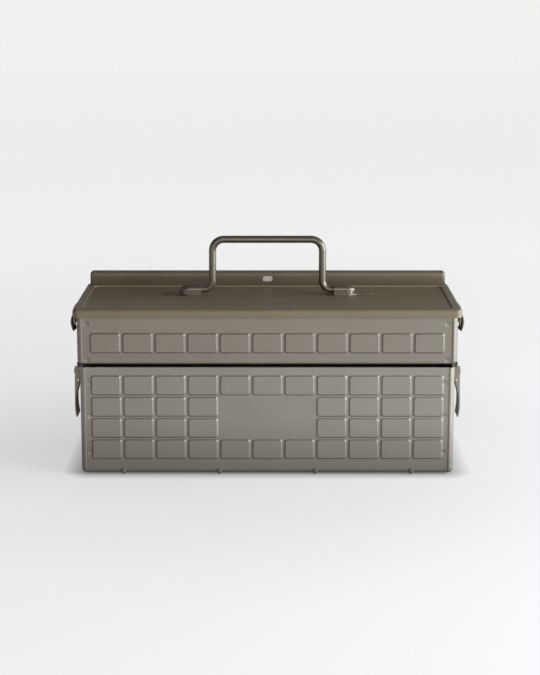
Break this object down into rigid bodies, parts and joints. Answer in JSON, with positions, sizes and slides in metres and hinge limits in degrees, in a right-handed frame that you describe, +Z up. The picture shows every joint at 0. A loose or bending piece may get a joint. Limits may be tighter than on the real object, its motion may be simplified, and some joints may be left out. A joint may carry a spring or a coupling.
{
  "type": "cantilever tool box",
  "caption": "Pressed steel tool box with an upper tray that swings back on link arms, a hinged lid with a folding bail handle and side pull latches.",
  "frame": {"origin": "on the floor below the centre of the closed box's bounding box", "axes": "+X to the right along the length, +Y from the front to the back, +Z up"},
  "size_m": [0.369, 0.15, 0.2145],
  "materials": {
    "painted_steel": "satin olive grey powder coat",
    "painted_handle": "satin olive grey powder coat, slightly glossier",
    "painted_fittings": "satin olive grey powder coat on stamped fittings",
    "painted_rivets": "satin olive grey powder coat",
    "bright_pins": "plated steel"
  },
  "bodies": {
    "box": {"body_shell": "painted_steel", "body_end_left": "painted_steel", "body_end_right": "painted_steel", "latch_base_left": "painted_fittings", "latch_base_right": "painted_fittings", "lever_rivets": "painted_rivets", "lower_arm_rivets": "painted_rivets"},
    "arm_front_left": {"arm_front_left": "painted_fittings"},
    "arm_front_right": {"arm_front_right": "painted_fittings"},
    "arm_rear_left": {"arm_rear_left": "painted_fittings"},
    "arm_rear_right": {"arm_rear_right": "painted_fittings"},
    "tray": {"tray_shell": "painted_steel", "tray_end_left": "painted_steel", "tray_end_right": "painted_steel", "upper_arm_rivets": "painted_rivets", "tray_hinge_leaves": "painted_steel", "hinge_pins": "bright_pins"},
    "lid": {"lid_panel": "painted_steel", "rear_rail": "painted_steel", "lid_hinge_leaves": "painted_steel", "handle_bracket_left": "painted_handle", "handle_bracket_right": "painted_handle", "latch_keeper_left": "painted_fittings", "latch_keeper_right": "painted_fittings"},
    "handle": {"handle": "painted_handle"},
    "lever_left": {"latch_lever_left": "painted_fittings", "strap_pin_left": "bright_pins"},
    "lever_right": {"latch_lever_right": "painted_fittings", "strap_pin_right": "bright_pins"},
    "strap_left": {"latch_strap_left": "painted_fittings"},
    "strap_right": {"latch_strap_right": "painted_fittings"}
  },
  "joints": [
    {"name": "tray_swing", "type": "hinge", "parent": "box", "child": "arm_rear_right", "pos_m": [0.1771, 0.058, 0.084], "axis": [-1, 0, 0], "range_deg": [0, 90]},
    {"name": "tray_level", "type": "hinge", "parent": "arm_rear_right", "child": "tray", "pos_m": [0.1771, 0.01402, 0.12798], "axis": [-1, 0, 0], "range_deg": [-90, 0]},
    {"name": "arm_front_right_swing", "type": "hinge", "parent": "box", "child": "arm_front_right", "pos_m": [0.1771, 0.034, 0.084], "axis": [-1, 0, 0], "range_deg": [0, 90]},
    {"name": "arm_rear_left_swing", "type": "hinge", "parent": "box", "child": "arm_rear_left", "pos_m": [-0.1771, 0.058, 0.084], "axis": [-1, 0, 0], "range_deg": [0, 90]},
    {"name": "arm_front_left_swing", "type": "hinge", "parent": "box", "child": "arm_front_left", "pos_m": [-0.1771, 0.034, 0.084], "axis": [-1, 0, 0], "range_deg": [0, 90]},
    {"name": "lid_hinge", "type": "hinge", "parent": "tray", "child": "lid", "pos_m": [0, 0.0727, 0.147], "axis": [-1, 0, 0], "range_deg": [0, 100]},
    {"name": "handle_fold", "type": "hinge", "parent": "lid", "child": "handle", "pos_m": [0, 0.007, 0.1625], "axis": [1, 0, 0], "range_deg": [-70, 90]},
    {"name": "latch_left", "type": "hinge", "parent": "box", "child": "lever_left", "pos_m": [-0.1789, -0.038, 0.095], "axis": [0, 1, 0], "range_deg": [0, 100]},
    {"name": "strap_left_swing", "type": "hinge", "parent": "lever_left", "child": "strap_left", "pos_m": [-0.1779, -0.038, 0.086], "axis": [0, 1, 0], "range_deg": [-105, 0]},
    {"name": "latch_right", "type": "hinge", "parent": "box", "child": "lever_right", "pos_m": [0.1789, -0.038, 0.095], "axis": [0, -1, 0], "range_deg": [0, 100]},
    {"name": "strap_right_swing", "type": "hinge", "parent": "lever_right", "child": "strap_right", "pos_m": [0.1779, -0.038, 0.086], "axis": [0, -1, 0], "range_deg": [-105, 0]}
  ],
  "couplings": [
    {"joint": "tray_level", "follows": "tray_swing", "ratio": -1},
    {"joint": "arm_front_right_swing", "follows": "tray_swing", "ratio": 1},
    {"joint": "arm_rear_left_swing", "follows": "tray_swing", "ratio": 1},
    {"joint": "arm_front_left_swing", "follows": "tray_swing", "ratio": 1},
    {"joint": "strap_left_swing", "follows": "latch_left", "ratio": -1.05},
    {"joint": "strap_right_swing", "follows": "latch_right", "ratio": -1.05}
  ]
}
